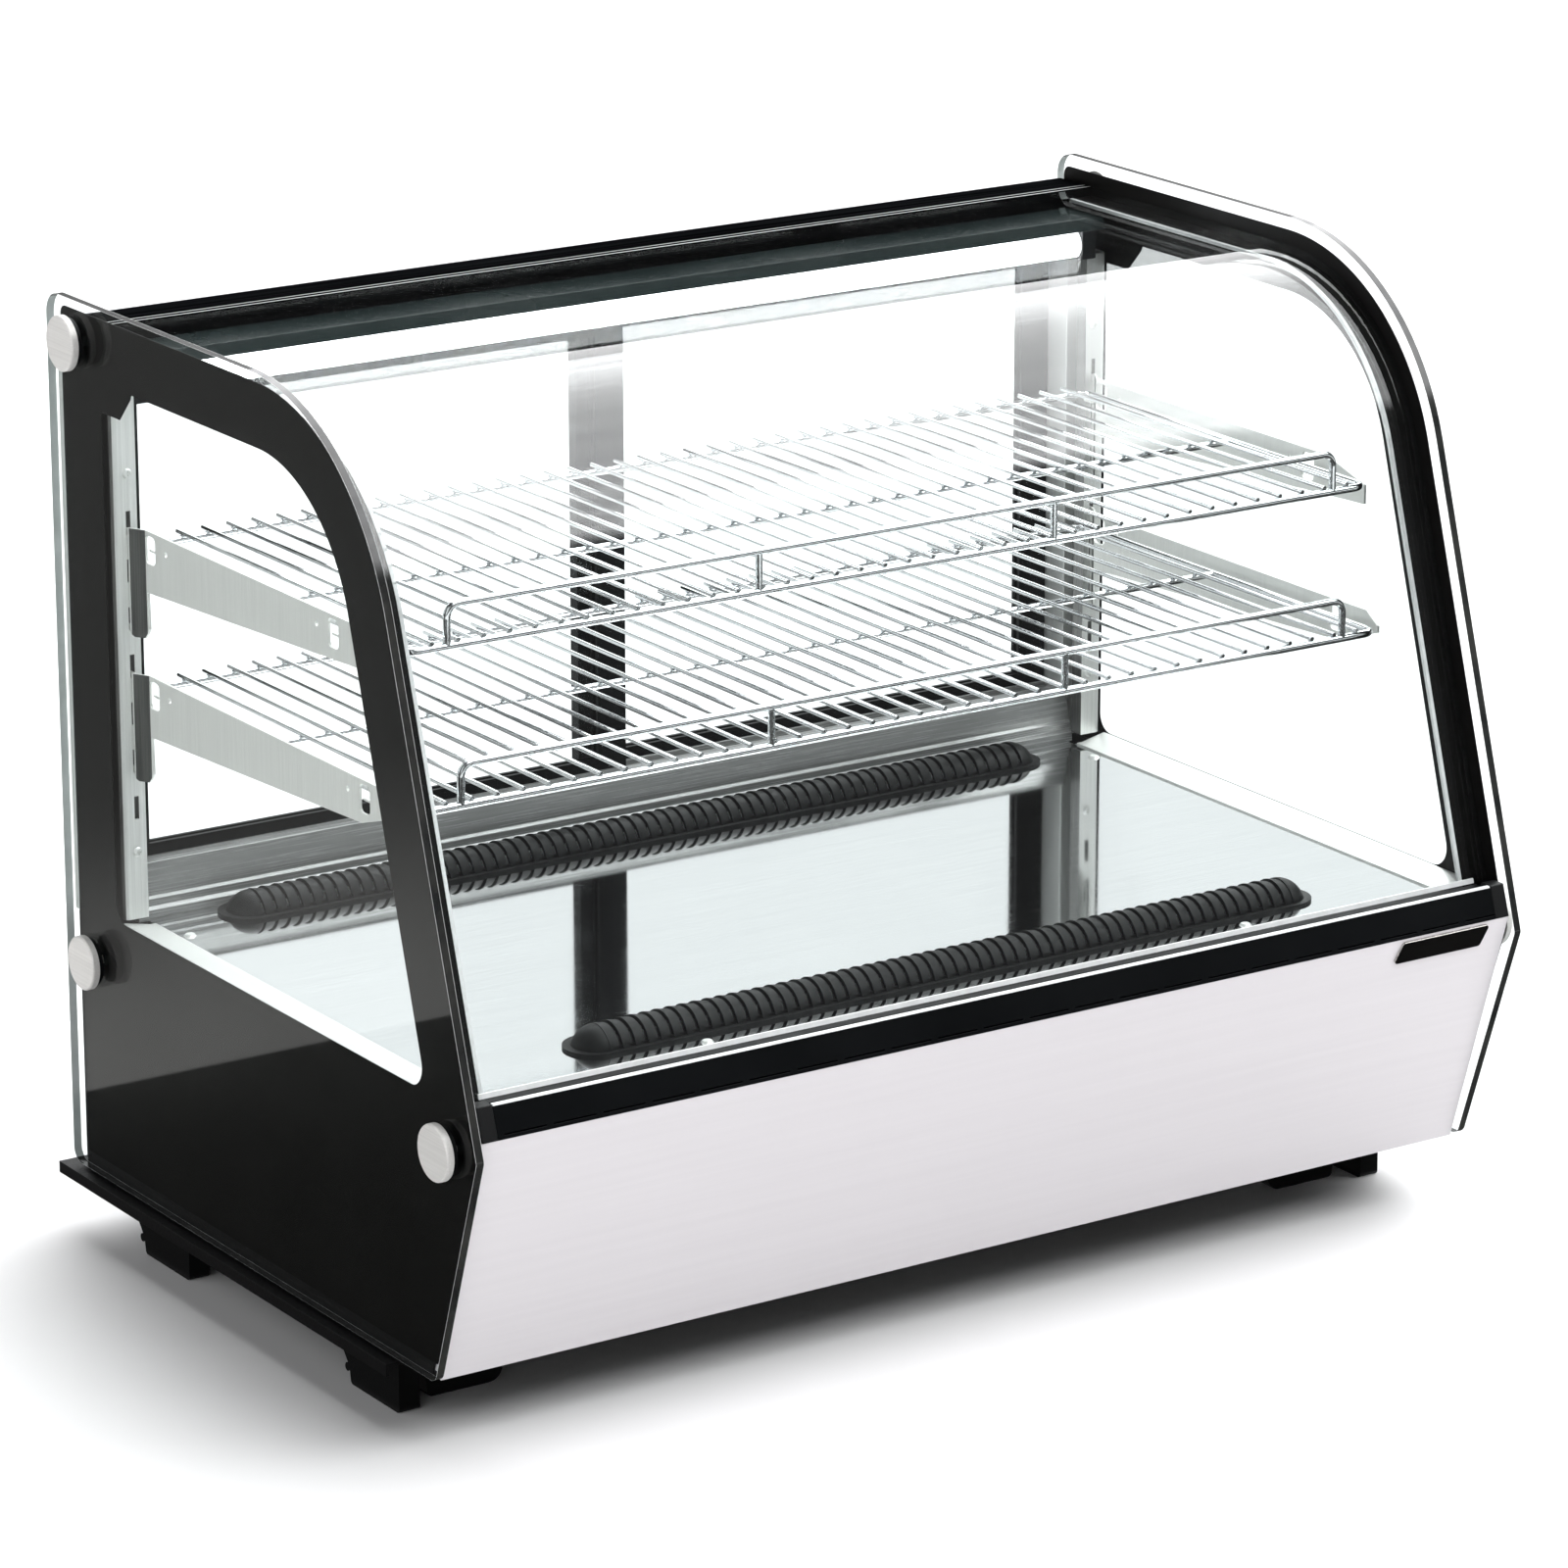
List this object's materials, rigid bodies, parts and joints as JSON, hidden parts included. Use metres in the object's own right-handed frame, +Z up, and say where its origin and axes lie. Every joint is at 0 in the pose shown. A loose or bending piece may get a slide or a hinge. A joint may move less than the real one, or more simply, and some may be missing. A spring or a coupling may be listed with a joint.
{
  "type": "refrigerated bakery display case",
  "caption": "Countertop refrigerated display case with curved front glass, glass sides, wire shelves on hooked brackets, sliding rear doors and a cooling unit in its base",
  "frame": {"origin": "centre of the footprint box on the table plane under the feet", "axes": "+X runs across the case to the viewer's right, -Y faces the customer, +Z is up"},
  "size_m": [0.878, 0.5684, 0.685],
  "materials": {
    "clear_glass": "clear toughened glass, faint green edge",
    "print_black": "black screen print on glass, seen glossy",
    "seal_white": "light translucent seal",
    "satin_caps": "satin turned steel",
    "black_moulding": "fine-grained black moulding",
    "black_aluminium": "black anodised extrusion",
    "white_panel": "satin white coated sheet",
    "black_steel": "black powder coat",
    "lamp_white": "frosted tube, lit",
    "housing_white": "white coated aluminium",
    "polished_deck": "polished stainless sheet",
    "stainless": "satin stainless",
    "wire_chrome": "bright chrome plated wire",
    "tub_liner": "white foamed liner",
    "coil_fins": "thin fins on copper tube",
    "fan_black": "black glass-filled nylon",
    "copper": "drawn copper tube",
    "rubber": "soft black rubber",
    "shell_black": "gloss black enamel",
    "button_grey": "satin grey buttons",
    "rocker_red": "red translucent rocker",
    "rocker_green": "green translucent rocker",
    "sill_steel": "dark brushed stainless"
  },
  "bodies": {
    "cabinet": {"base_pan": "black_steel", "corner_feet": "black_moulding", "side_glass_left": "clear_glass", "side_glass_right": "clear_glass", "side_print_left": "print_black", "side_print_right": "print_black", "front_glass": "clear_glass", "front_glass_border": "print_black", "front_glass_seals": "seal_white", "glass_standoffs": "black_moulding", "glass_caps": "satin_caps", "front_profile": "black_aluminium", "profile_end_caps": "black_moulding", "front_panel": "white_panel", "name_badge": "print_black", "top_cover": "black_aluminium", "lamp_housing": "housing_white", "lamp_tube": "lamp_white", "lamp_holders": "fan_black", "deck_plate": "polished_deck", "side_ledges": "stainless", "front_grille": "black_moulding", "rear_grille": "black_moulding", "upright_left": "stainless", "upright_right": "stainless", "insulated_tub": "tub_liner", "evaporator_coil": "coil_fins", "evaporator_fan_frame": "fan_black", "rear_post_left": "stainless", "rear_post_right": "stainless", "rear_sill": "sill_steel", "door_top_track": "black_aluminium", "rear_panel": "black_steel", "compressor": "shell_black", "compressor_mounts": "rubber", "condenser_coil": "coil_fins", "condenser_shroud": "fan_black", "controller": "black_moulding", "switch_frames": "black_moulding", "refrigerant_lines": "copper", "drip_tray": "black_moulding", "cable_gland": "black_moulding", "fastener_screws": "stainless"},
    "door_left": {"door_left_frame": "black_aluminium", "door_left_glass": "clear_glass"},
    "door_right": {"door_right_frame": "black_aluminium", "door_right_glass": "clear_glass"},
    "upper_brackets": {"bracket_upper_left": "stainless", "bracket_upper_right": "stainless"},
    "lower_brackets": {"bracket_lower_left": "stainless", "bracket_lower_right": "stainless"},
    "upper_shelf": {"shelf_upper": "wire_chrome"},
    "lower_shelf": {"shelf_lower": "wire_chrome"},
    "evaporator_fan": {"evaporator_rotor": "fan_black"},
    "condenser_fan": {"condenser_rotor": "fan_black"},
    "set_key": {"button_set": "button_grey"},
    "up_key": {"button_up": "button_grey"},
    "down_key": {"button_down": "button_grey"},
    "power_key": {"power_rocker": "rocker_red"},
    "light_key": {"light_rocker": "rocker_green"}
  },
  "joints": [
    {"name": "left_door_slide", "type": "slide", "parent": "cabinet", "child": "door_left", "axis": [1, 0, 0], "range_m": [0, 0.385]},
    {"name": "right_door_slide", "type": "slide", "parent": "cabinet", "child": "door_right", "axis": [1, 0, 0], "range_m": [-0.385, 0]},
    {"name": "upper_bracket_unhook", "type": "slide", "parent": "cabinet", "child": "upper_brackets", "axis": [0, 0, 1], "range_m": [0, 0.008]},
    {"name": "lower_bracket_unhook", "type": "slide", "parent": "cabinet", "child": "lower_brackets", "axis": [0, 0, 1], "range_m": [0, 0.008]},
    {"name": "upper_shelf_lift", "type": "slide", "parent": "upper_brackets", "child": "upper_shelf", "axis": [0, 0, 1], "range_m": [0, 0.015]},
    {"name": "lower_shelf_lift", "type": "slide", "parent": "lower_brackets", "child": "lower_shelf", "axis": [0, 0, 1], "range_m": [0, 0.02]},
    {"name": "evaporator_fan_spin", "type": "hinge", "parent": "cabinet", "child": "evaporator_fan", "pos_m": [-0.25, -0.059, 0.168], "axis": [0, 1, 0], "continuous": true},
    {"name": "condenser_fan_spin", "type": "hinge", "parent": "cabinet", "child": "condenser_fan", "pos_m": [0.25, 0.1985, 0.122], "axis": [0, 1, 0], "continuous": true},
    {"name": "set_button_press", "type": "slide", "parent": "cabinet", "child": "set_key", "axis": [0, 1, 0], "range_m": [-0.001, 0], "stiffness_N_per_m": 400, "springref_m": 0.0005},
    {"name": "up_button_press", "type": "slide", "parent": "cabinet", "child": "up_key", "axis": [0, 1, 0], "range_m": [-0.001, 0], "stiffness_N_per_m": 400, "springref_m": 0.0005},
    {"name": "down_button_press", "type": "slide", "parent": "cabinet", "child": "down_key", "axis": [0, 1, 0], "range_m": [-0.001, 0], "stiffness_N_per_m": 400, "springref_m": 0.0005},
    {"name": "power_rocker_tip", "type": "hinge", "parent": "cabinet", "child": "power_key", "pos_m": [-0.33, 0.277, 0.15], "axis": [1, 0, 0], "range_deg": [-16, 0]},
    {"name": "light_rocker_tip", "type": "hinge", "parent": "cabinet", "child": "light_key", "pos_m": [-0.365, 0.277, 0.15], "axis": [1, 0, 0], "range_deg": [-16, 0]}
  ]
}
